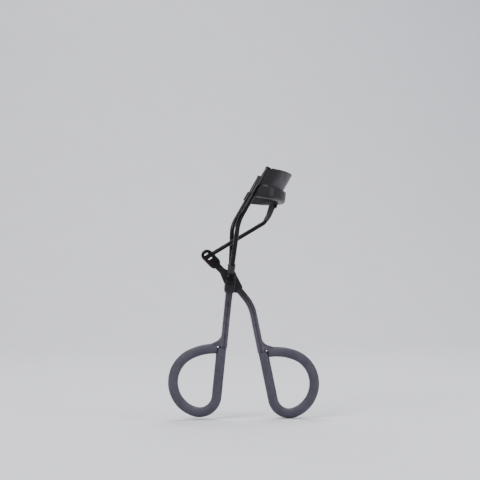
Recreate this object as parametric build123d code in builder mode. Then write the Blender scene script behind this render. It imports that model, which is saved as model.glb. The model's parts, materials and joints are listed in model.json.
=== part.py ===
from build123d import *
from math import atan2, cos, degrees, radians, sin
import os

# Eyelash curler, millimetres. It stands on its finger rings: +Z up, +X towards the jaws' curved
# front, +Y away from the viewer. The left handle ends in a fork that holds two guide rods with the
# upper jaw. The right handle is a lever on the pivot rivet, and its link pushes the lower jaw up
# the rods. Leans are degrees to the right of straight up, and layers are depths along Y.

# ---- driving dimensions ------------------------------------------------------------------------
PIVOT = Vector(-5.74, 0, 58.01)  # centre of the pivot rivet; the origin is midway under the rings

# guide rods
ROD_R = 0.97
ROD_GAP = 32.0  # centre to centre above the bend
ROD_LEAN = 4.9  # below the bend
RAIL_LEAN = 29.6  # above the bend, where the lower jaw slides
ROD_FOOT_UP, ROD_FOOT_OUT = 3.7, 2.6  # the rods' lower ends: above the rivet, out from the middle
BEND_UP, BEND_R = 23.4, 9.0  # the bend's corner above the rivet
RAIL_LENGTH = 24.2  # from the bend's corner to the rod's end
SOCKET_R, SOCKET_LOW, SOCKET_HIGH = 1.35, 1.6, 3.0
CAP_R, CAP_SKIRT, CAP_DOME = 1.25, 0.5, 0.5

# jaws
JAW_TILT = 7.0  # the jaws' front dips below level
JAW_DEPTH = 11.4  # from the rods to the outline's middle line at the front
FACE_R, FACE_ANGLE = 20.0, 42.0
SHOULDER_R, SHOULDER_ANGLE = 6.0, 30.0
PLATE, PLATE_HEIGHT, PLATE_FLANK = 0.6, 7.6, 3.0
PLATE_RISE = 0.7  # the plate's top edge above the rods' ends
BARREL_R = 1.12  # the plate's ends, rolled round the rods
CLOSED_GAP = 0.2  # between plate edge and pad with the handles closed
TROUGH_W, TROUGH_WALL, TROUGH_FLANK, POCKET_FLANK = 3.4, 0.5, 4.8, 0.3
TROUGH_HEIGHT, TROUGH_FLOOR, TROUGH_ROUND = 4.6, 1.4, 1.3
PAD_PROUD, PAD_ROUND = 0.6, 0.7
END_AHEAD = 0.2  # the trough's ends, ahead of the rods' middle
SLIDER_R, SLIDER_HEIGHT = 1.55, 4.2
RUNNING = 0.06  # radial clearance of every running fit

# handles and pivot
BAR_W, BAR_T, LEVER_T = 2.8, 3.0, 2.3
BAR_ROUND, GROOVE_R, GROOVE_DEPTH = 0.55, 0.5, 0.35
BOSS_ROUND, LOBE_ROUND, BAR_IN_LOBE = 0.45, 0.3, 0.8
BOSS_W, BOSS_UP, BOSS_DOWN = 4.3, 3.9, 6.4  # the left handle's boss about the rivet
LEVER_DISC_R, LOBE_R, LOBE_DOWN = 3.1, 2.1, 4.6
NECK_R, NECK_UP = 1.3, 4.8  # where the lever boss has narrowed to the arm
WEB_R, WEB_SIDE, WEB_DOWN = 1.5, 2.2, 4.2  # the lever boss's lower corner
CHEEK_IN, CHEEK_OUT = 1.25, 2.65  # layers of the fork's cheeks
FORK_UP, FORK_DEPTH, NECK_DOWN = 8.0, 6.0, 9.5  # the fork's slot, and the end of its tapered neck
RIVET_R, RIVET_HEAD_R, RIVET_HEAD_H = 1.0, 2.1, 0.9
RIVET_DIMPLE_R, RIVET_DIMPLE_DEPTH = 0.65, 0.6
HANDLE_LEAN = 5.7
LEVER_LEAN_TOP, LEVER_LEAN_MID, LEVER_LEAN_LOW = -44.5, -39.4, -11.6
LEVER_BEND_DOWN, LEVER_BEND_R = 14.0, 16.0

# finger rings, measured from their tops on the bars
RING_DOWN = {"left": 25.5, "right": 16.9}  # from the rivet, and from the lever's bend
RING_LEAN = {"left": HANDLE_LEAN, "right": LEVER_LEAN_LOW}
OUTWARD = {"left": -1, "right": 1}
RING_CORE_R, GRIP_R = 1.2, 2.1
RING_INSET = 2.25  # the ring's middle line out from the bar's inner edge
RING_STRAIGHT = 23.6
RING_CORNER_R, RING_CORNER_ANGLE = 7.0, 100.0
RING_BOW_R, RING_BOW_ANGLE = 12.7, 138.0
RING_BACK_R, RING_BACK_ANGLE = 22.5, 33.0  # the flatter arc that comes back to the bar
GRIP_START, GRIP_STOP, CORE_STOP = 3.3, 1.5, 2.0  # where rubber and core begin and end
ROOT_T, ROOT_ROUND, ROOT_CURVE = 2.6, 0.45, 4.2  # the flat root that joins the core to the bar
ROOT_SIDE = 2.7  # its long edge, just inside the bar's outer side
ROOT_LOW, ROOT_HIGH, ROOT_TOP = -2.7, 0.4, 3.1  # along the bar, from the ring's top
ROOT_REACH, ROOT_DROP, ROOT_END = 7.2, 2.6, 2.1  # into the rubber, down, and its end's height

# link and its two pivots
YOKE_REACH = 13.4  # rivet to yoke pin
YOKE_W, YOKE_T, YOKE_UP, YOKE_DOWN = 4.9, 4.2, 3.1, 6.2
YOKE_ROUND = 0.9
YOKE_ROOM, YOKE_ROOM_UP, YOKE_ROOM_DOWN, YOKE_ROOM_BACK = 2.0, 1.9, 3.6, 1.2
ARM_IN_YOKE = 3.5  # the arm's end stops this far from the yoke pin
SLOT_W, SLOT_L, SLOT_STEP, SLOT_TURN = 0.65, 1.9, 1.25, -12.0
RIB_W, RIB_DEPTH, RIB_PITCH, RIB_COUNT = 0.4, 0.25, 0.85, 4
YOKE_PIN_R, PIN_HEAD_R, PIN_HEAD_H = 0.42, 0.75, 0.3
WIRE_R, EYE_R = 0.88, 1.05
LINK_LEAN, LINK_RUN, LINK_BEND_R = 59.0, 27.6, 3.5  # lower run, from the yoke pin to the corner
LUG_PIN = PIVOT + Vector(18.6, 0, 30.95)
LUG_PIN_R, LUG_HEAD_R, LUG_HEAD_H = 0.4, 0.65, 0.25
LUG_R, LUG_IN, LUG_OUT, LUG_UP, LUG_BASE = 0.85, 1.05, 1.65, 3.4, 0.4
HOOK_R, HOOK_HOLE_R, HOOK_T, HOOK_NECK = 0.98, 0.7, 1.6, 1.5
HOOK_SHIFT = Vector(0.14, 0, -0.1)  # the loose hole's centre from its pin, handles closed
FERRULE_R, FERRULE_START, FERRULE_LENGTH, WIRE_IN_FERRULE = 1.08, 1.3, 3.2, 2.6
PRONG_R, PRONG_SIDE, PRONG_DOWN = 0.5, 1.9, 0.2
NOTCH_W, NOTCH_DEPTH = 0.45, 1.2

os.makedirs("parts", exist_ok=True)


def heading(lean):
    """Unit vector in the front plane, this many degrees to the right of straight up."""
    return Vector(sin(radians(lean)), 0, cos(radians(lean)))


def rightward(lean):
    """Unit vector square to heading(lean), pointing right."""
    return Vector(cos(radians(lean)), 0, -sin(radians(lean)))


def front_plane(origin, lean):
    """A plane that faces the viewer, with its own y along heading(lean)."""
    return Plane(origin=origin, x_dir=rightward(lean), z_dir=(0, -1, 0))


def cross_plane(origin, lean):
    """A plane square to heading(lean), with its own y pointing away from the viewer."""
    return Plane(origin=origin, x_dir=rightward(lean), z_dir=heading(lean))


def finish(part, name):
    """Label a finished sub-part and write its STEP file."""
    part.label = name
    export_step(part, f"parts/{name}.step")


# ---- reference points --------------------------------------------------------------------------
rail = heading(RAIL_LEAN)
bend = PIVOT + heading(ROD_LEAN) * (BEND_UP / cos(radians(ROD_LEAN)))
rod_foot = PIVOT + heading(ROD_LEAN) * ROD_FOOT_UP
rod_top = bend + rail * RAIL_LENGTH
upper_edge = rod_top + rail * PLATE_RISE
lower_edge = upper_edge - rail * PLATE_HEIGHT
pad_top = lower_edge - rail * CLOSED_GAP
rim = pad_top - heading(JAW_TILT) * PAD_PROUD
lever_bend = PIVOT - heading(LEVER_LEAN_MID) * LEVER_BEND_DOWN
ring_tops = {
    "left": PIVOT - heading(HANDLE_LEAN) * RING_DOWN["left"],
    "right": lever_bend - heading(LEVER_LEAN_LOW) * RING_DOWN["right"],
}
yoke_pin_at = PIVOT + heading(LEVER_LEAN_TOP) * YOKE_REACH
link_corner = yoke_pin_at + heading(LINK_LEAN) * LINK_RUN
hook_at = LUG_PIN + HOOK_SHIFT
leg = hook_at - link_corner
leg_lean = degrees(atan2(leg.X, leg.Z))
depth_step = Vector(0, 1, 0)

front = front_plane(PIVOT, 0)
handle_plane = front_plane(PIVOT, HANDLE_LEAN)
arm_plane = front_plane(PIVOT, LEVER_LEAN_TOP)
yoke_plane = front_plane(yoke_pin_at, LEVER_LEAN_TOP)


def in_front(point):
    """A point's place on the front plane, as right and up from the rivet."""
    return (point.X - PIVOT.X, point.Z - PIVOT.Z)


def strip(plane, points, width, radius=0.0):
    """A flat strip of even width with round ends along a path with rounded corners."""
    with BuildSketch(plane) as outline:
        with BuildLine():
            if radius:
                FilletPolyline(*points, radius=radius)
            else:
                Line(*points)
            offset(amount=width / 2, side=Side.BOTH)
        make_face()
    return outline.sketch


def disc(plane, radius):
    """A round sketch about a plane's origin."""
    with BuildSketch(plane) as outline:
        Circle(radius)
    return outline.sketch


def block(plane, width, low, high):
    """A rectangular sketch about a plane's y axis, from low to high along it."""
    with BuildSketch(plane) as outline:
        with Locations((0, (low + high) / 2)):
            Rectangle(width, high - low)
    return outline.sketch


def loop_plane(side):
    """The ring's plane: origin on the bar's inner edge, x outward from the bar, y up along it."""
    out, lean = OUTWARD[side], RING_LEAN[side]
    inner_edge = ring_tops[side] - rightward(lean) * (out * BAR_W / 2)
    return Plane(origin=inner_edge, x_dir=rightward(lean) * out, z_dir=(0, -out, 0))


def ring_lines(side, start, stop):
    """The ring's middle line in two stretches: down the bar and round, then the bow back to the bar."""
    place = loop_plane(side)
    with BuildLine(place) as leg:
        inner = Line((RING_INSET, -start), (RING_INSET, -RING_STRAIGHT))
        corner = JernArc(inner @ 1, inner % 1, RING_CORNER_R, RING_CORNER_ANGLE)
    with BuildLine(place) as bow:
        wide = JernArc(corner @ 1, corner % 1, RING_BOW_R, RING_BOW_ANGLE)
        JernArc(wide @ 1, wide % 1, RING_BACK_R, RING_BACK_ANGLE - degrees(stop / RING_BACK_R))
    return leg.line, bow.line


def ring_rod(side, radius, start, stop):
    """Sweep a round rod along both stretches of a ring."""
    for line in ring_lines(side, start, stop):
        sweep(disc(Plane(origin=line @ 0, z_dir=line % 0), radius), path=line)


def jaw_band(origin, width, flank):
    """The jaws' bowed outline at one level, as a band of even width about its middle line."""
    with BuildSketch(cross_plane(origin, JAW_TILT)) as band:
        with BuildLine():
            face = JernArc((JAW_DEPTH, 0), (0, 1), FACE_R, FACE_ANGLE)
            shoulder = JernArc(face @ 1, face % 1, SHOULDER_R, SHOULDER_ANGLE)
            Line(shoulder @ 1, shoulder @ 1 + (shoulder % 1) * flank)
            mirror(about=Plane.XZ)
            offset(amount=width / 2, side=Side.BOTH)
        make_face()
    return band.sketch


def rod_axis(side):
    """The upper stretch of a rod: a cross plane at the rod's end, y side -1 near or +1 far."""
    return cross_plane(rod_top + depth_step * (side * ROD_GAP / 2), RAIL_LEAN)


def rod_line(side):
    """A guide rod's middle line, from its foot in the fork to its end."""
    foot = rod_foot + depth_step * (side * ROD_FOOT_OUT)
    corner = bend + depth_step * (side * ROD_GAP / 2)
    end = rod_top + depth_step * (side * ROD_GAP / 2)
    with BuildLine() as line:
        FilletPolyline(foot, corner, end, radius=BEND_R)
    return line.line


def foot_plane(side):
    """A plane square to a guide rod at its foot."""
    line = rod_line(side)
    return Plane(origin=line @ 0, z_dir=line % 0)


def ring_core(side):
    """Add a finger ring's round core, and the flat root that blends its end into the bar."""
    ring_rod(side, RING_CORE_R, GRIP_START - RING_CORE_R, CORE_STOP)
    with BuildPart(mode=Mode.PRIVATE) as root:
        with BuildSketch(loop_plane(side)) as outline:
            with BuildLine():
                Polyline(
                    (BAR_W / 2, ROOT_LOW),
                    (BAR_W + GRIP_STOP, ROOT_LOW),
                    (ROOT_REACH, ROOT_LOW - ROOT_END),
                    (ROOT_REACH, ROOT_HIGH - ROOT_DROP),
                    (ROOT_SIDE, ROOT_HIGH),
                    (ROOT_SIDE, ROOT_TOP),
                    (BAR_W / 2, ROOT_TOP),
                    close=True,
                )
            make_face()
            fillet(outline.vertices().sort_by_distance((ROOT_SIDE, ROOT_HIGH))[0], ROOT_CURVE)
        extrude(amount=ROOT_T / 2, both=True)
        fillet(root.faces().filter_by(Axis.Y).edges(), ROOT_ROUND)
    add(root.part)


def grooved_bar(line, thickness):
    """A bar along a line in the front plane: rounded edges, and a groove down both faces."""
    start = line % 0
    section = Plane(origin=line @ 0, x_dir=depth_step.cross(start), z_dir=start)
    with BuildSketch(section) as outline:
        RectangleRounded(BAR_W, thickness, BAR_ROUND)
        for face in (1, -1):
            with Locations((0, face * (thickness / 2 + GROOVE_R - GROOVE_DEPTH))):
                Circle(GROOVE_R, mode=Mode.SUBTRACT)
    return sweep(outline.sketch, path=line)


# ---- left handle: fork with two cheeks and rod sockets, grooved bar, finger ring's core ---------
with BuildPart() as handle_left:
    boss_ends = ((0, BOSS_UP - BOSS_W / 2), (0, BOSS_W / 2 - BOSS_DOWN))
    extrude(strip(handle_plane, boss_ends, BOSS_W), amount=CHEEK_OUT, both=True)
    fillet(handle_left.faces().filter_by(Axis.Y).edges(), BOSS_ROUND)
    for side in (-1, 1):
        socket_plane = foot_plane(side)
        extrude(disc(socket_plane.offset(-SOCKET_LOW), SOCKET_R), amount=SOCKET_LOW + SOCKET_HIGH)
    for down, depth in ((FORK_DEPTH, CHEEK_OUT), (NECK_DOWN, BAR_T / 2)):
        with BuildSketch(cross_plane(PIVOT - heading(HANDLE_LEAN) * down, HANDLE_LEAN)):
            RectangleRounded(BAR_W, 2 * depth, BAR_ROUND)
    loft()
    with BuildLine() as bar_line:
        bar_start = PIVOT - heading(HANDLE_LEAN) * (NECK_DOWN - BAR_ROUND)
        Line(bar_start, ring_tops["left"] - heading(HANDLE_LEAN) * GRIP_START)
    grooved_bar(bar_line.line, BAR_T)
    ring_core("left")
    extrude(
        block(handle_plane, 2 * BOSS_W, -FORK_DEPTH, FORK_UP),
        amount=CHEEK_IN,
        both=True,
        mode=Mode.SUBTRACT,
    )
    for side in (-1, 1):
        extrude(disc(foot_plane(side), ROD_R), amount=2 * SOCKET_HIGH, mode=Mode.SUBTRACT)
    extrude(disc(front, RIVET_R), amount=2 * CHEEK_OUT, both=True, mode=Mode.SUBTRACT)
    for face in (1, -1):
        head_seat = disc(front.offset(face * CHEEK_OUT), RIVET_HEAD_R)
        extrude(head_seat, amount=face * 2 * RIVET_HEAD_H, mode=Mode.SUBTRACT)
finish(handle_left.part, "handle_left")

# ---- guide rods with their end caps ------------------------------------------------------------
for side, name in ((-1, "front"), (1, "rear")):
    with BuildPart() as guide_rod:
        sweep(disc(foot_plane(side), ROD_R), path=rod_line(side))
    finish(guide_rod.part, f"guide_rod_{name}")

    with BuildPart() as rod_cap:
        extrude(disc(rod_axis(side), CAP_R), amount=CAP_SKIRT + CAP_DOME)
        fillet(rod_cap.faces().sort_by(Axis(rod_top, rail))[-1].edges(), CAP_DOME)
    finish(rod_cap.part, f"rod_cap_{name}")

# ---- upper jaw: a bowed upright plate between the rods' upper ends ------------------------------
with BuildPart() as upper_jaw:
    extrude(jaw_band(upper_edge, PLATE, PLATE_FLANK), amount=PLATE_HEIGHT, dir=-rail)
    for side in (-1, 1):
        extrude(disc(rod_axis(side), BARREL_R), amount=PLATE_RISE - PLATE_HEIGHT)
        extrude(disc(rod_axis(side), ROD_R), amount=-2 * PLATE_HEIGHT, mode=Mode.SUBTRACT)
        extrude(disc(rod_axis(side), CAP_R), amount=PLATE_HEIGHT, mode=Mode.SUBTRACT)
finish(upper_jaw.part, "upper_jaw")

# ---- pivot rivet: shank, dimpled dome in front, flat formed head behind -------------------------
with BuildPart() as pivot_rivet:
    extrude(disc(front, RIVET_R), amount=CHEEK_OUT, both=True)
    extrude(disc(front.offset(CHEEK_OUT), RIVET_HEAD_R), amount=RIVET_HEAD_H)
    fillet(pivot_rivet.faces().sort_by(Axis.Y)[0].edges(), RIVET_HEAD_H * 0.95)
    extrude(disc(front.offset(-CHEEK_OUT), RIVET_HEAD_R * 0.9), amount=-RIVET_HEAD_H * 0.7)
    chamfer(pivot_rivet.faces().sort_by(Axis.Y)[-1].edges(), RIVET_HEAD_H * 0.3)
    dimple_floor = front.offset(CHEEK_OUT + RIVET_HEAD_H - RIVET_DIMPLE_DEPTH)
    extrude(disc(dimple_floor, RIVET_DIMPLE_R), amount=RIVET_HEAD_H, mode=Mode.SUBTRACT)
finish(pivot_rivet.part, "pivot_rivet")

# ---- right handle: lever arm, boss on the rivet, bent grooved bar, finger ring's core -----------
with BuildPart() as handle_right:
    with BuildSketch(front):
        Circle(LEVER_DISC_R)
        with Locations(in_front(PIVOT + heading(LEVER_LEAN_TOP) * NECK_UP)):
            Circle(NECK_R)
        with Locations(in_front(PIVOT - heading(LEVER_LEAN_MID) * LOBE_DOWN)):
            Circle(LOBE_R)
        with Locations((WEB_SIDE, -WEB_DOWN)):
            Circle(WEB_R)
        make_hull()
    extrude(amount=LEVER_T / 2, both=True)
    fillet(handle_right.faces().filter_by(Axis.Y).edges(), LOBE_ROUND)
    with BuildLine() as arm_line:
        arm = heading(LEVER_LEAN_TOP)
        Line(PIVOT + arm * (LEVER_DISC_R / 2), PIVOT + arm * (YOKE_REACH - ARM_IN_YOKE))
    grooved_bar(arm_line.line, LEVER_T)
    with BuildLine() as bar_line:
        bar_start = PIVOT - heading(LEVER_LEAN_MID) * (LOBE_DOWN + LOBE_R - BAR_IN_LOBE)
        bar_end = ring_tops["right"] - heading(LEVER_LEAN_LOW) * GRIP_START
        FilletPolyline(bar_start, lever_bend, bar_end, radius=LEVER_BEND_R)
    grooved_bar(bar_line.line, BAR_T)
    ring_core("right")
    extrude(disc(front, RIVET_R + RUNNING), amount=BAR_T, both=True, mode=Mode.SUBTRACT)
finish(handle_right.part, "handle_right")

# ---- rubber grips over both finger rings --------------------------------------------------------
for side, handle in (("left", handle_left), ("right", handle_right)):
    with BuildPart() as grip:
        ring_rod(side, GRIP_R, GRIP_START, GRIP_STOP)
        add(handle.part, mode=Mode.SUBTRACT)
    finish(grip.part, f"grip_{side}")

# ---- yoke at the lever arm's tip: windowed capsule around the link's eye ------------------------
with BuildPart() as lever_yoke:
    yoke_ends = ((0, YOKE_UP - YOKE_W / 2), (0, YOKE_W / 2 - YOKE_DOWN))
    extrude(strip(yoke_plane, yoke_ends, YOKE_W), amount=YOKE_T / 2, both=True)
    fillet(lever_yoke.faces().filter_by(Axis.Y).edges(), YOKE_ROUND)
    with BuildSketch(yoke_plane):
        room_high = (YOKE_ROOM_UP - YOKE_ROOM_DOWN) / 2
        with Locations(((YOKE_W - YOKE_ROOM_BACK) / 2, room_high)):
            Rectangle(YOKE_W + YOKE_ROOM_BACK, YOKE_ROOM_UP + YOKE_ROOM_DOWN)
    extrude(amount=YOKE_ROOM / 2, both=True, mode=Mode.SUBTRACT)
    extrude(
        block(arm_plane, BAR_W, 0, YOKE_REACH - ARM_IN_YOKE),
        amount=LEVER_T / 2,
        both=True,
        mode=Mode.SUBTRACT,
    )
    with BuildSketch(yoke_plane):
        with Locations((0, SLOT_STEP), (0, -SLOT_STEP)):
            SlotOverall(SLOT_L, SLOT_W, rotation=SLOT_TURN)
    extrude(amount=YOKE_T, both=True, mode=Mode.SUBTRACT)
    for face in (1, -1):
        with BuildSketch(yoke_plane.offset(face * (YOKE_T / 2 - RIB_DEPTH))):
            for number in range(RIB_COUNT):
                with Locations((0, -SLOT_STEP - RIB_PITCH * (number + 1))):
                    Rectangle(2 * YOKE_W, RIB_W, rotation=SLOT_TURN)
        extrude(amount=face * YOKE_T, mode=Mode.SUBTRACT)
    extrude(disc(yoke_plane, YOKE_PIN_R), amount=YOKE_T, both=True, mode=Mode.SUBTRACT)
finish(lever_yoke.part, "lever_yoke")

with BuildPart() as yoke_pin:
    extrude(disc(yoke_plane, YOKE_PIN_R), amount=YOKE_T / 2, both=True)
    for face in (1, -1):
        head_plane = yoke_plane.offset(face * YOKE_T / 2)
        extrude(disc(head_plane, PIN_HEAD_R), amount=face * PIN_HEAD_H)
    ends = yoke_pin.faces().sort_by(Axis.Y)
    fillet(ends[0].edges() + ends[-1].edges(), PIN_HEAD_H * 0.9)
finish(yoke_pin.part, "yoke_pin")

# ---- link: bent wire with an eye on the yoke pin, and a fork hooked on the lug pin --------------
with BuildPart() as link_rod:
    with BuildLine() as link_line:
        FilletPolyline(
            yoke_pin_at + heading(LINK_LEAN) * (EYE_R / 2),
            link_corner,
            link_corner + heading(leg_lean) * (FERRULE_START + WIRE_IN_FERRULE),
            radius=LINK_BEND_R,
        )
    sweep(disc(Plane(origin=link_line.line @ 0, z_dir=link_line.line % 0), WIRE_R), path=link_line.line)
    eye_plane = front_plane(yoke_pin_at, LINK_LEAN)
    extrude(disc(eye_plane, EYE_R), amount=WIRE_R, both=True)
    extrude(disc(eye_plane, YOKE_PIN_R + RUNNING), amount=2 * WIRE_R, both=True, mode=Mode.SUBTRACT)
finish(link_rod.part, "link_rod")

with BuildPart() as link_fork:
    ferrule_plane = cross_plane(link_corner + heading(leg_lean) * FERRULE_START, leg_lean)
    extrude(disc(ferrule_plane, FERRULE_R), amount=FERRULE_LENGTH)
    leg_plane = front_plane(link_corner, leg_lean)
    leg_length = leg.length
    with BuildSketch(leg_plane):
        with Locations((0, FERRULE_START + FERRULE_LENGTH - FERRULE_R)):
            Circle(FERRULE_R)
        with Locations((-PRONG_SIDE, leg_length - PRONG_DOWN)):
            Circle(PRONG_R)
        with Locations((0, leg_length - HOOK_NECK)):
            Circle(FERRULE_R - PRONG_R)
        make_hull()
        with Locations((0, leg_length - HOOK_NECK / 2)):
            Rectangle(HOOK_R, HOOK_NECK)
        with Locations((0, leg_length)):
            Circle(HOOK_R)
        with Locations((-PRONG_SIDE / 2 - NOTCH_W / 2, leg_length + HOOK_R)):
            Rectangle(NOTCH_W, 2 * NOTCH_DEPTH, mode=Mode.SUBTRACT)
        with Locations((0, leg_length)):
            Circle(HOOK_HOLE_R, mode=Mode.SUBTRACT)
    extrude(amount=HOOK_T / 2, both=True)
    extrude(disc(ferrule_plane, WIRE_R), amount=WIRE_IN_FERRULE, mode=Mode.SUBTRACT)
finish(link_fork.part, "link_fork")

# ---- lower jaw: bowed trough, its rubber pad, two sliders on the rods, lug with its pin ---------
with BuildPart() as lower_jaw:
    extrude(jaw_band(rim, TROUGH_W, TROUGH_FLANK), amount=-TROUGH_HEIGHT)
    underside = lower_jaw.faces().sort_by(Axis(rim, heading(JAW_TILT)))[0]
    fillet(underside.edges(), TROUGH_ROUND)
    pocket = jaw_band(rim, TROUGH_W - 2 * TROUGH_WALL, POCKET_FLANK)
    extrude(pocket, amount=TROUGH_FLOOR - TROUGH_HEIGHT, mode=Mode.SUBTRACT)
    behind = rim + rightward(RAIL_LEAN) * (END_AHEAD - ROD_GAP / 2)
    extrude(
        block(front_plane(behind, RAIL_LEAN), ROD_GAP, -ROD_GAP, ROD_GAP),
        amount=ROD_GAP,
        both=True,
        mode=Mode.SUBTRACT,
    )
    for side in (-1, 1):
        extrude(disc(rod_axis(side), SLIDER_R), amount=-4 * PLATE_HEIGHT, mode=Mode.SUBTRACT)
finish(lower_jaw.part, "lower_jaw")

with BuildPart() as lash_pad:
    pad = jaw_band(pad_top, TROUGH_W - 2 * TROUGH_WALL, POCKET_FLANK)
    extrude(pad, amount=TROUGH_FLOOR - TROUGH_HEIGHT - PAD_PROUD)
    fillet(lash_pad.faces().sort_by(Axis(rim, heading(JAW_TILT)))[-1].edges(), PAD_ROUND)
finish(lash_pad.part, "lash_pad")

for side, name in ((-1, "front"), (1, "rear")):
    with BuildPart() as slider:
        top = rod_axis(side).offset((rim - rod_top).dot(rail))
        with BuildSketch(top):
            Circle(SLIDER_R)
            Circle(ROD_R + RUNNING, mode=Mode.SUBTRACT)
        extrude(amount=-SLIDER_HEIGHT)
    finish(slider.part, f"slider_{name}")

with BuildPart() as jaw_lug:
    lug_plane = front_plane(LUG_PIN, JAW_TILT)
    wall = (rim - LUG_PIN).dot(rightward(JAW_TILT)) + JAW_DEPTH - TROUGH_W / 2
    with BuildSketch(lug_plane):
        Circle(LUG_R)
        with Locations(((wall + TROUGH_WALL / 2 - LUG_R) / 2, LUG_UP / 2)):
            Rectangle(wall + TROUGH_WALL / 2 + LUG_R, LUG_UP)
    extrude(amount=LUG_OUT, both=True)
    extrude(
        block(lug_plane, 4 * LUG_R, -2 * LUG_R, LUG_UP - LUG_BASE),
        amount=LUG_IN,
        both=True,
        mode=Mode.SUBTRACT,
    )
    extrude(disc(lug_plane, LUG_PIN_R), amount=2 * LUG_OUT, both=True, mode=Mode.SUBTRACT)
    add(lower_jaw.part, mode=Mode.SUBTRACT)
finish(jaw_lug.part, "jaw_lug")

with BuildPart() as lug_pin:
    extrude(disc(lug_plane, LUG_PIN_R), amount=LUG_OUT, both=True)
    for face in (1, -1):
        head_plane = lug_plane.offset(face * LUG_OUT)
        extrude(disc(head_plane, LUG_HEAD_R), amount=face * LUG_HEAD_H)
finish(lug_pin.part, "lug_pin")
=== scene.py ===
"""Eyelash curler on a plain pale floor, in metres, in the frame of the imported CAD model."""

import json
from math import cos, exp, pi, radians, sin

import bmesh
import bpy
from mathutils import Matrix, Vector


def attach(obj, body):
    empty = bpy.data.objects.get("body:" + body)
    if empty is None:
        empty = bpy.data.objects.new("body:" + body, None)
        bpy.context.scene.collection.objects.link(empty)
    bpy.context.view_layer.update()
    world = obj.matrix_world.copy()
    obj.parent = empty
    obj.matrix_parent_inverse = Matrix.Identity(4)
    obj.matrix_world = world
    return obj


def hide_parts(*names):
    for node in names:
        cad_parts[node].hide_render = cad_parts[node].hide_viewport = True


MM = 0.001

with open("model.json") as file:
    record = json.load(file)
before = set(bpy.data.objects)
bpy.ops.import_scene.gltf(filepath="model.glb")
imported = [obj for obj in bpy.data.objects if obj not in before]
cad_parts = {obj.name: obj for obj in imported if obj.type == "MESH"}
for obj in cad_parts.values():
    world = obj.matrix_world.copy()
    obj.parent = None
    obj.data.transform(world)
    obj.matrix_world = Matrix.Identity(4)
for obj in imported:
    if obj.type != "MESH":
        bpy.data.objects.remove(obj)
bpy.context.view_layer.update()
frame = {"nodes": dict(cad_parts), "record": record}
nodes = frame["nodes"]
slot_of = {row["node"]: row["material_slot"] for row in frame["record"]["subparts"]}
joints = {joint["name"]: joint for joint in frame["record"]["behaviour"]["joints"]}
pivot = Vector(joints["handle_pivot"]["pos_m"])
pivot_mm = pivot / MM

# ---- lines of the object that materials and rubber pieces share ---------------------------------
BACKWARD = Vector((0, 1, 0))
RAIL_LEAN = 29.6  # the guide rods' upper part, degrees to the right of straight up


def heading(lean):
    """Unit vector in the front plane, this many degrees to the right of straight up."""
    return Vector((sin(radians(lean)), 0, cos(radians(lean))))


def rightward(lean):
    """Unit vector square to the heading, in the front plane."""
    return Vector((cos(radians(lean)), 0, -sin(radians(lean))))


# ---- material helpers --------------------------------------------------------------------------
FINE, MOTTLED = (0.3, 0.7), (0.35, 0.65)  # the middle of a noise, which is spread over 0..1
EDGE_TURN = (0.995, 0.86)  # cosine between the rounded and the true normal, from face to edge
CREVICE_LIGHT = (0.9, 0.5)  # share of open space above the surface, from face to groove


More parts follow.
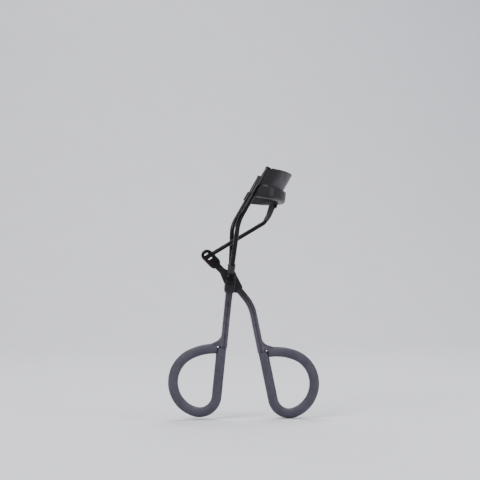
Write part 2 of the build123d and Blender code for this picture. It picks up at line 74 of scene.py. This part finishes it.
class Finish:
    """A procedural material under construction, with its Principled shader ready."""

    def __init__(self, name, **values):
        self.material = bpy.data.materials.new(name)
        self.material.use_nodes = True
        self.tree = self.material.node_tree
        self.shader = self.tree.nodes["Principled BSDF"]
        for socket, value in values.items():
            self.shader.inputs[socket.replace("_", " ")].default_value = value
        self.place = self.node("ShaderNodeTexCoord").outputs["Object"]

    def node(self, kind, **settings):
        made = self.tree.nodes.new(kind)
        for name, value in settings.items():
            setattr(made, name, value)
        return made

    def feed(self, socket, source):
        """Set an input to a plain value, or link it to another node's output."""
        if isinstance(source, bpy.types.NodeSocket):
            self.tree.links.new(source, socket)
        else:
            socket.default_value = source

    def along(self, axis):
        """Each surface point's X, Y or Z in metres."""
        split = self.node("ShaderNodeSeparateXYZ")
        self.feed(split.inputs["Vector"], self.place)
        return split.outputs[axis]

    def noise(self, size, detail=2.0, rough=0.5, stretch=(1, 1, 1), turn=0.0):
        """Noise whose blotches are about size millimetres across."""
        mapping = self.node("ShaderNodeMapping")
        mapping.inputs["Scale"].default_value = [1 / (size * MM * s) for s in stretch]
        mapping.inputs["Rotation"].default_value = (0, turn, 0)
        self.feed(mapping.inputs["Vector"], self.place)
        grain = self.node("ShaderNodeTexNoise")
        self.feed(grain.inputs["Vector"], mapping.outputs["Vector"])
        grain.inputs["Scale"].default_value = 1.0
        grain.inputs["Detail"].default_value = detail
        grain.inputs["Roughness"].default_value = rough
        return grain.outputs["Fac"]

    def span(self, source, limits, onto=(0.0, 1.0)):
        """Map a value's range between two limits onto another range, clamped."""
        ranged = self.node("ShaderNodeMapRange")
        values = (source, *limits, *onto)
        for name, value in zip(("Value", "From Min", "From Max", "To Min", "To Max"), values):
            self.feed(ranged.inputs[name], value)
        return ranged.outputs["Result"]

    def math(self, operation, first, second=0.0):
        made = self.node("ShaderNodeMath", operation=operation)
        self.feed(made.inputs[0], first)
        self.feed(made.inputs[1], second)
        return made.outputs[0]

    def blend(self, amount, first, second):
        """Blend two colours by an amount that varies over the surface."""
        mixed = self.node("ShaderNodeMix", data_type="RGBA")
        self.feed(mixed.inputs[0], amount)
        for socket, colour in ((mixed.inputs[6], first), (mixed.inputs[7], second)):
            self.feed(socket, colour if isinstance(colour, bpy.types.NodeSocket) else (*colour, 1))
        return mixed.outputs[2]

    def edges(self, width):
        """Near 1 along convex and concave edges within width millimetres, 0 on the faces."""
        rounded = self.node("ShaderNodeBevel", samples=6)
        rounded.inputs["Radius"].default_value = width * MM
        plain = self.node("ShaderNodeNewGeometry").outputs["Normal"]
        product = self.node("ShaderNodeVectorMath", operation="DOT_PRODUCT")
        self.feed(product.inputs[0], rounded.outputs["Normal"])
        self.feed(product.inputs[1], plain)
        return self.span(product.outputs["Value"], EDGE_TURN)

    def crevice_shade(self, reach):
        """Near 1 down in grooves and corners narrower than reach millimetres, 0 in the open: the
        mask for painted shade, from ambient occlusion.
        """
        shade = self.node("ShaderNodeAmbientOcclusion", samples=8)
        shade.inputs["Distance"].default_value = reach * MM
        return self.span(shade.outputs["AO"], CREVICE_LIGHT)

    def bump(self, *layers):
        """Stack bumps, each a height source and its depth in millimetres, onto the normal."""
        last = None
        for source, depth in layers:
            made = self.node("ShaderNodeBump")
            made.inputs["Distance"].default_value = depth * MM
            self.feed(made.inputs["Height"], source)
            if last is not None:
                self.feed(made.inputs["Normal"], last)
            last = made.outputs["Normal"]
        self.feed(self.shader.inputs["Normal"], last)

    def colour(self, source):
        self.feed(self.shader.inputs["Base Color"], source)

    def roughness(self, source):
        self.feed(self.shader.inputs["Roughness"], source)


# ---- materials ---------------------------------------------------------------------------------
# Base colours, in linear light. A pair is blended by noise.
BARE = ((0.009, 0.008, 0.010), (0.014, 0.011, 0.014))
# Painted light: a lighter grey for the handles below the pivot.
PAINTED_LIGHT_GREYS = ((0.050, 0.045, 0.062), (0.074, 0.067, 0.088))
# Edge wear on the handles, partly a painted highlight along their ridges.
SATIN_WEAR_AND_HIGHLIGHT = (0.200, 0.190, 0.225)
# Painted shade: the near-black that ambient occlusion blends into the handles' grooves.
PAINTED_GROOVE_SHADE = (0.006, 0.005, 0.008)
CLEAN, TARNISHED = (0.004, 0.0037, 0.005), (0.015, 0.0075, 0.0088)
GLOSS_WORN = (0.050, 0.046, 0.052)
ROLLED_BLACK = (0.0045, 0.004, 0.005)
SLATE = ((0.040, 0.0385, 0.055), (0.053, 0.051, 0.071))
DUST = (0.10, 0.10, 0.12)
PAD_BLACK = ((0.010, 0.010, 0.012), (0.019, 0.018, 0.021))

DULL_FROM, DULL_TO = 4 * MM, 17 * MM  # below the pivot, from glossy to rougher by handling, and lighter in colour as painted light
ROLLED_FROM, ROLLED_TO = 14.3 * MM, 15.0 * MM  # off the middle, where the jaws turn round the rods


def satin_black():
    """Satin plating on the handles: glossy near the pivot, rougher below, worn on the edges. The
    lighter grey below the pivot is painted light, the light edges are partly a painted highlight,
    and the darkened grooves are painted shade.
    """
    made = Finish("handle_satin_black", Metallic=0.0, IOR=1.5, Specular_IOR_Level=0.32)
    handled_and_painted_light = made.span(made.along("Z"), (pivot.z - DULL_FROM, pivot.z - DULL_TO))
    bare = made.blend(made.span(made.noise(2.5, 3), MOTTLED), *BARE)
    # Painted light: the handles turn a lighter grey below the pivot.
    painted_light_below = made.blend(made.span(made.noise(1.7, 4), MOTTLED), *PAINTED_LIGHT_GREYS)
    plating = made.blend(handled_and_painted_light, bare, painted_light_below)
    chips = made.span(made.noise(0.9, 4, 0.65), FINE, (0.3, 1.0))
    # Light edges: partly wear, partly a painted highlight along the ridges.
    worn_and_highlit = made.math("MULTIPLY", made.edges(0.5), chips)
    lightened_edges = made.math("MULTIPLY", worn_and_highlit, made.span(handled_and_painted_light, (0.0, 1.0), (0.2, 0.7)))
    shaded = made.blend(lightened_edges, plating, SATIN_WEAR_AND_HIGHLIGHT)
    # Painted shade: grooves and corners darkened toward near-black by ambient occlusion.
    made.colour(made.blend(made.crevice_shade(1.3), shaded, PAINTED_GROOVE_SHADE))
    polish = made.span(made.noise(0.6, 3), FINE, (0.24, 0.34))
    made.roughness(made.math("ADD", polish, made.math("MULTIPLY", handled_and_painted_light, 0.12)))
    made.bump((made.noise(0.16, 2), 0.008), (made.noise(1.3, 2), 0.012))
    return made


def gloss_black():
    """Glossy plating on wires, pins and rivet, with a faint red-brown tarnish."""
    made = Finish("gloss_black", Metallic=0.0, IOR=1.4, Specular_IOR_Level=0.24)
    tarnish = made.span(made.noise(6.0, 2), (0.48, 0.68))
    plating = made.blend(tarnish, CLEAN, TARNISHED)
    scuffs = made.span(made.noise(0.5, 4, 0.7), (0.4, 0.7), (0.1, 0.7))
    lightened_edges = made.math("MULTIPLY", made.edges(0.2), scuffs)
    made.colour(made.blend(lightened_edges, plating, GLOSS_WORN))
    made.roughness(made.span(made.noise(0.8, 3), FINE, (0.14, 0.24)))
    made.bump((made.noise(0.22, 1), 0.002), (made.noise(1.6, 2), 0.004))
    return made


def sheet_metal(name, dark, light, worn_to, rough, blotch, wear):
    """Black-plated sheet steel, brushed along the guide rods, blotchy where the plating is thin."""
    made = Finish(name, Metallic=0.0, IOR=1.45, Specular_IOR_Level=0.35)
    brush = made.noise(0.12, 3, 0.6, (1, 1, 14), radians(RAIL_LEAN))
    plating = made.blend(made.span(made.noise(blotch, 4, 0.6), (0.38, 0.66)), dark, light)
    streaked = made.blend(made.span(brush, FINE, (0.0, 0.2)), plating, worn_to)
    sideways = made.math("ABSOLUTE", made.along("Y"))
    rolled = made.span(sideways, (ROLLED_FROM, ROLLED_TO), (0.0, 0.9))
    shaded = made.blend(rolled, streaked, ROLLED_BLACK)
    scuffs = made.span(made.noise(0.7, 4, 0.65), FINE, (0.2, wear))
    polished = made.math("MULTIPLY", made.edges(0.25), scuffs)
    made.colour(made.blend(polished, shaded, worn_to))
    made.roughness(made.span(brush, (0.25, 0.75), rough))
    made.bump((brush, 0.005), (made.noise(0.18, 2), 0.004))
    return made


def slate_rubber():
    """Dusty, slightly clouded rubber on the finger rings."""
    made = Finish("grip_rubber_slate", Metallic=0.0, IOR=1.45)
    slate = made.blend(made.span(made.noise(4.0, 3), MOTTLED), *SLATE)
    specks = made.span(made.noise(0.35, 4, 0.7), (0.58, 0.72))
    made.colour(made.blend(made.math("MULTIPLY", specks, 0.3), slate, DUST))
    made.roughness(made.span(made.noise(0.9, 3), FINE, (0.6, 0.76)))
    made.bump((made.noise(0.13, 2), 0.018), (made.noise(1.8, 2), 0.02))
    return made


def black_rubber():
    """The lash pad's softer black rubber."""
    made = Finish("pad_rubber_black", Metallic=0.0, IOR=1.45)
    made.colour(made.blend(made.span(made.noise(1.5, 3), MOTTLED), *PAD_BLACK))
    made.roughness(made.span(made.noise(0.5, 3), FINE, (0.5, 0.66)))
    made.bump((made.noise(0.12, 2), 0.01), (made.noise(0.9, 2), 0.02))
    return made


jaw = sheet_metal(
    "jaw_satin_metal",
    dark=(0.010, 0.009, 0.012),
    light=(0.026, 0.024, 0.028),
    worn_to=(0.075, 0.070, 0.078),
    rough=(0.34, 0.48),
    blotch=2.6,
    wear=0.7,
)
trough = sheet_metal(
    "trough_black",
    dark=(0.003, 0.0028, 0.0032),
    light=(0.015, 0.0115, 0.0115),
    worn_to=(0.040, 0.036, 0.038),
    rough=(0.36, 0.50),
    blotch=1.3,
    wear=0.5,
)
finishes = {
    "handle_metal": satin_black(),
    "gloss_metal": gloss_black(),
    "jaw_metal": jaw,
    "grip_rubber": slate_rubber(),
    "pad_rubber": black_rubber(),
}
special = {"lower_jaw": trough, "jaw_lug": trough, "link_fork": jaw}
for node_name, node in nodes.items():
    node.data.materials.clear()
    finish = special.get(node_name, finishes[slot_of[node_name]])
    node.data.materials.append(finish.material)


# ---- rubber pieces that stand for their CAD solids ----------------------------------------------
def stations(x, y, angle, runs):
    """Stops along straight and left-curving runs: distance, x, y and direction, in millimetres.

    A run is its length, its radius (0 where straight) and its number of steps.
    """
    travelled = 0.0
    stops = [(travelled, x, y, angle)]
    for length, radius, steps in runs:
        for _ in range(steps):
            ahead = length / steps
            if radius:
                turned = angle + ahead / radius
                x += radius * (sin(turned) - sin(angle))
                y -= radius * (cos(turned) - cos(angle))
                angle = turned
            else:
                x += ahead * cos(angle)
                y += ahead * sin(angle)
            travelled += ahead
            stops.append((travelled, x, y, angle))
    return stops


def rubber_piece(name, rings, closed, body, slot, node_name):
    """A closed mesh through rings of points, riding on a body in place of a CAD node."""
    around = len(rings[0])
    points = [point for ring in rings for point in ring]
    last = len(rings) if closed else len(rings) - 1
    faces = []
    for i in range(last):
        here, there = i * around, (i + 1) % len(rings) * around
        for k in range(around):
            after = (k + 1) % around
            faces.append((here + k, here + after, there + after, there + k))
    if not closed:
        faces.append(tuple(reversed(range(around))))
        faces.append(tuple(range(len(points) - around, len(points))))
    shape = bmesh.new()
    corners = [shape.verts.new(point) for point in points]
    for face in faces:
        shape.faces.new([corners[index] for index in face])
    bmesh.ops.recalc_face_normals(shape, faces=shape.faces)
    skin = bpy.data.meshes.new(name)
    shape.to_mesh(skin)
    shape.free()
    skin.polygons.foreach_set("use_smooth", [True] * len(skin.polygons))
    skin.materials.append(finishes[slot].material)
    piece = bpy.data.objects.new(name, skin)
    bpy.context.scene.collection.objects.link(piece)
    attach(piece, body)
    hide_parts(node_name)


BAR_HALF = 1.4  # half the handle bars' width
GRIP_R, BORE_R = 2.1, 1.2
LIP, END_LIP = 0.4, 0.15  # rounding of the rubber's start and of its end
SHRINK = 0.02  # the sleeve's radius is this much under its CAD solid's, to leave room for waves
GRIP_INSET, GRIP_START, GRIP_STOP = 2.25, 3.3, 1.5  # off the bar, below the top, short of the root
STRAIGHT = 20.3
CORNER_R, CORNER_TURN = 7.0, 100
BOW_R, BOW_TURN = 12.7, 138
BACK_R, BACK_TURN = 22.5, 33
CORNER_RUN = CORNER_R * radians(CORNER_TURN)
BOW_RUN = BOW_R * radians(BOW_TURN)
BACK_RUN = BACK_R * radians(BACK_TURN) - GRIP_STOP
WAVES = ((0.012, 0.83, 0.0), (0.009, 2.1, 1.0))  # height, turn per millimetre, start
CREASES, CREASE_DEPTH = 7, 0.05
AROUND = 32
BORE_SKIP = 4  # the hidden bore has one ring of points for so many outside


def grip_radius(distance, total, inward):
    """The sleeve's outer radius: rounded lips, slight waves, and creases inside the corner."""
    end, size = (distance, LIP) if distance < total / 2 else (total - distance, END_LIP)
    lip = size - (size * size - (size - end) ** 2) ** 0.5 if 0 <= end < size else 0.0
    wave = sum(tall * sin(turn * distance + start) for tall, turn, start in WAVES)
    into = (distance - STRAIGHT) / CORNER_RUN
    crease = 0.0
    if 0 < into < 1 and inward > 0:
        folds = 0.5 - 0.5 * cos(2 * pi * CREASES * into)
        crease = CREASE_DEPTH * inward**2 * sin(pi * into) * folds
    return GRIP_R - SHRINK + wave - lip - crease


def grip(side, out, lean, ring_top, body):
    """A rubber sleeve over a finger ring's core, from the bar round the bow to the root."""
    runs = [
        (LIP, 0, 7),
        (STRAIGHT - LIP, 0, 60),
        (CORNER_RUN, CORNER_R, 96),
        (BOW_RUN, BOW_R, 110),
        (BACK_RUN - END_LIP, BACK_R, 40),
        (END_LIP, BACK_R, 4),
    ]
    edge = ring_top - rightward(lean) * (out * BAR_HALF)
    stops = stations(GRIP_INSET, -GRIP_START, -pi / 2, runs)
    total = stops[-1][0]
    spokes = [2 * pi * k / AROUND for k in range(AROUND)]
    outer, bore = [], []
    for distance, x, y, angle in stops:
        middle = edge + rightward(lean) * (out * x) + heading(lean) * y
        inward = rightward(lean) * (-out * sin(angle)) + heading(lean) * cos(angle)
        rays = [inward * cos(spoke) + BACKWARD * sin(spoke) for spoke in spokes]
        sizes = [grip_radius(distance, total, cos(spoke)) for spoke in spokes]
        outer.append([(middle + ray * size) * MM for ray, size in zip(rays, sizes)])
        bore.append([(middle + ray * BORE_R) * MM for ray in rays])
    rings = outer + bore[::-BORE_SKIP]
    rubber_piece(f"sleeve_{side}", rings, True, body, "grip_rubber", f"grip_{side}")


HANDLE_LEAN, LEVER_LEAN_MID, LEVER_LEAN_LOW = 5.7, -39.4, -11.6
LEFT_RING_DOWN = 25.5  # from the pivot to the left ring's top, along its bar
LEVER_BEND_DOWN, RIGHT_RING_DOWN = 14.0, 16.9  # from the pivot to the bend, and on to the ring
lever_bend = pivot_mm - heading(LEVER_LEAN_MID) * LEVER_BEND_DOWN
left_top = pivot_mm - heading(HANDLE_LEAN) * LEFT_RING_DOWN
right_top = lever_bend - heading(LEVER_LEAN_LOW) * RIGHT_RING_DOWN
grip("left", -1, HANDLE_LEAN, left_top, "frame")
grip("right", 1, LEVER_LEAN_LOW, right_top, "lever")

ROD_LEAN, JAW_TILT = 4.9, 7.0
ROD_BEND_HIGH, PAD_ALONG = 23.4, 17.1  # pivot to the rods' bend, upright, and bend to the pad's top
PAD_HALF, PAD_HIGH, PAD_CROWN, PAD_ROUND = 1.2, 3.8, 0.5, 0.3
PAD_CREASE, CREASE_WIDE = 0.07, 0.22  # where the upper jaw's edge presses
PAD_BOW = 11.4  # the pad's middle stands this far off the rods
PAD_MIDDLE_R, PAD_MIDDLE_TURN = 20, 42
PAD_END_R, PAD_END_TURN, PAD_END_STRAIGHT = 6, 30, 0.25
PAD_END_SHRINK = (0.86, 0.96)  # the outermost two rings, which round the pad's ends
CROWN_STEPS, SIDE_STEPS, ROUND_STEPS = 20, 7, 4

rod_bend = pivot_mm + heading(ROD_LEAN) * (ROD_BEND_HIGH / cos(radians(ROD_LEAN)))
pad_top = rod_bend + heading(RAIL_LEAN) * PAD_ALONG


def pad_section():
    """The pad's outline across the jaw: crowned top, faint crease, and soft lower corners."""
    outline = []
    for k in range(CROWN_STEPS + 1):
        across = -cos(pi * k / CROWN_STEPS)
        drop = PAD_CROWN * across**4 + PAD_CREASE * exp(-((across / CREASE_WIDE) ** 2))
        outline.append((across * PAD_HALF, -drop))
    side = PAD_HIGH - PAD_CROWN - PAD_ROUND
    for k in range(1, SIDE_STEPS + 1):
        outline.append((PAD_HALF, -PAD_CROWN - side * k / SIDE_STEPS))
    for k in range(1, ROUND_STEPS + 1):
        turn = pi / 2 * k / ROUND_STEPS
        inset = PAD_ROUND * (1 - cos(turn))
        outline.append((PAD_HALF - inset, PAD_ROUND - PAD_HIGH - PAD_ROUND * sin(turn)))
    mirrored = [(-across, up) for across, up in reversed(outline[CROWN_STEPS + 1 :])]
    return outline + mirrored


def pad_rings():
    """The pad's section at each stop along the jaw's bow, from its near end to its far end."""
    runs = [
        (PAD_MIDDLE_R * radians(PAD_MIDDLE_TURN), PAD_MIDDLE_R, 42),
        (PAD_END_R * radians(PAD_END_TURN), PAD_END_R, 12),
        (PAD_END_STRAIGHT, 0, 2),
    ]
    half = stations(PAD_BOW, 0.0, pi / 2, runs)
    near_half = [(x, -y, pi - angle) for _, x, y, angle in reversed(half[1:])]
    far_half = [(x, y, angle) for _, x, y, angle in half]
    bow = near_half + far_half
    section = pad_section()
    upward = heading(JAW_TILT)
    rings = []
    for number, (x, y, angle) in enumerate(bow):
        end = min(number, len(bow) - 1 - number)
        shrink = PAD_END_SHRINK[end] if end < len(PAD_END_SHRINK) else 1.0
        middle = pad_top + rightward(JAW_TILT) * x + BACKWARD * y
        outward = rightward(JAW_TILT) * sin(angle) - BACKWARD * cos(angle)
        outline = [(across * shrink, up * shrink) for across, up in section]
        rings.append([(middle + outward * across + upward * up) * MM for across, up in outline])
    return rings


rubber_piece("lash_strip", pad_rings(), False, "lower_jaw", "pad_rubber", "lash_pad")

# ---- floor, lights, camera ---------------------------------------------------------------------
CARD_WHITE = ((0.69, 0.69, 0.73), (0.73, 0.73, 0.77))

card = Finish("studio_card", Metallic=0.0, IOR=1.4)
card.colour(card.blend(card.noise(30, 3), *CARD_WHITE))
card.roughness(card.span(card.noise(4, 3), FINE, (0.6, 0.75)))
card.bump((card.noise(1.2, 3), 0.02))

STAGE_FRONT, STAGE_BACK, STAGE_TOP, STAGE_HALF = -0.9, 0.45, 1.4, 1.3
COVE_R, COVE_STEPS = 0.35, 24


def stage_profile():
    """Side view of the floor and the cove behind it, front to back."""
    points = [(STAGE_FRONT, 0.0), (STAGE_BACK, 0.0)]
    for i in range(1, COVE_STEPS + 1):
        turn = pi / 2 * i / COVE_STEPS
        points.append((STAGE_BACK + COVE_R * sin(turn), COVE_R * (1 - cos(turn))))
    return points + [(STAGE_BACK + COVE_R, STAGE_TOP)]


profile = stage_profile()
mesh = bpy.data.meshes.new("studio_cove")
corners = [(x, y, z) for y, z in profile for x in (-STAGE_HALF, STAGE_HALF)]
quads = [(2 * i, 2 * i + 1, 2 * i + 3, 2 * i + 2) for i in range(len(profile) - 1)]
mesh.from_pydata(corners, [], quads)
mesh.polygons.foreach_set("use_smooth", [True] * len(quads))
mesh.materials.append(card.material)
cove = bpy.data.objects.new("studio_cove", mesh)
bpy.context.scene.collection.objects.link(cove)

AIR_COLOUR, AIR_STRENGTH = (0.82, 0.85, 0.92, 1), 0.45

world = bpy.data.worlds.new("studio_air")
world.use_nodes = True
sky = world.node_tree.nodes["Background"]
sky.inputs["Color"].default_value = AIR_COLOUR
sky.inputs["Strength"].default_value = AIR_STRENGTH
bpy.context.scene.world = world

TARGET_OFFSET = Vector((4.03, 0, 16.5))  # from the pivot to the middle of the view
target = (pivot_mm + TARGET_OFFSET) * MM


def aim(thing, place):
    """Put a light or camera at a place, looking at the middle of the view."""
    thing.location = place
    thing.rotation_euler = (target - place).to_track_quat("-Z", "Y").to_euler()


def softbox(name, place, size, watts, tint):
    """A rectangular soft light that faces the curler."""
    lamp = bpy.data.lights.new(name, "AREA")
    lamp.shape = "RECTANGLE"
    lamp.size, lamp.size_y = size
    lamp.energy = watts
    lamp.color = tint
    holder = bpy.data.objects.new(name, lamp)
    bpy.context.scene.collection.objects.link(holder)
    aim(holder, Vector(place))


WARM, COOL, NEUTRAL = (1, 0.99, 0.97), (0.95, 0.97, 1), (1, 1, 1)
softbox("key_left", place=(-0.55, -0.45, 0.75), size=(0.5, 0.5), watts=9.0, tint=WARM)
softbox("fill_right", place=(0.7, -0.35, 0.35), size=(0.35, 0.6), watts=4.0, tint=COOL)
softbox("top_back", place=(0.1, 0.35, 0.8), size=(0.7, 0.4), watts=6.0, tint=NEUTRAL)

AZIMUTH, ELEVATION, DISTANCE = radians(-5.0), radians(-2.8), 0.4
VIEW_WIDTH = 0.2016  # what the view takes in at the curler, in metres
SENSOR_WIDTH = 36.0
away = Vector((sin(AZIMUTH) * cos(ELEVATION), -cos(AZIMUTH) * cos(ELEVATION), sin(ELEVATION)))
lens = bpy.data.cameras.new("photo_camera")
lens.sensor_width = SENSOR_WIDTH
lens.lens = SENSOR_WIDTH * DISTANCE / VIEW_WIDTH
lens.clip_start = 0.01
lens.dof.use_dof = False
camera = bpy.data.objects.new("photo_camera", lens)
bpy.context.scene.collection.objects.link(camera)
aim(camera, target + away * DISTANCE)
bpy.context.scene.camera = camera
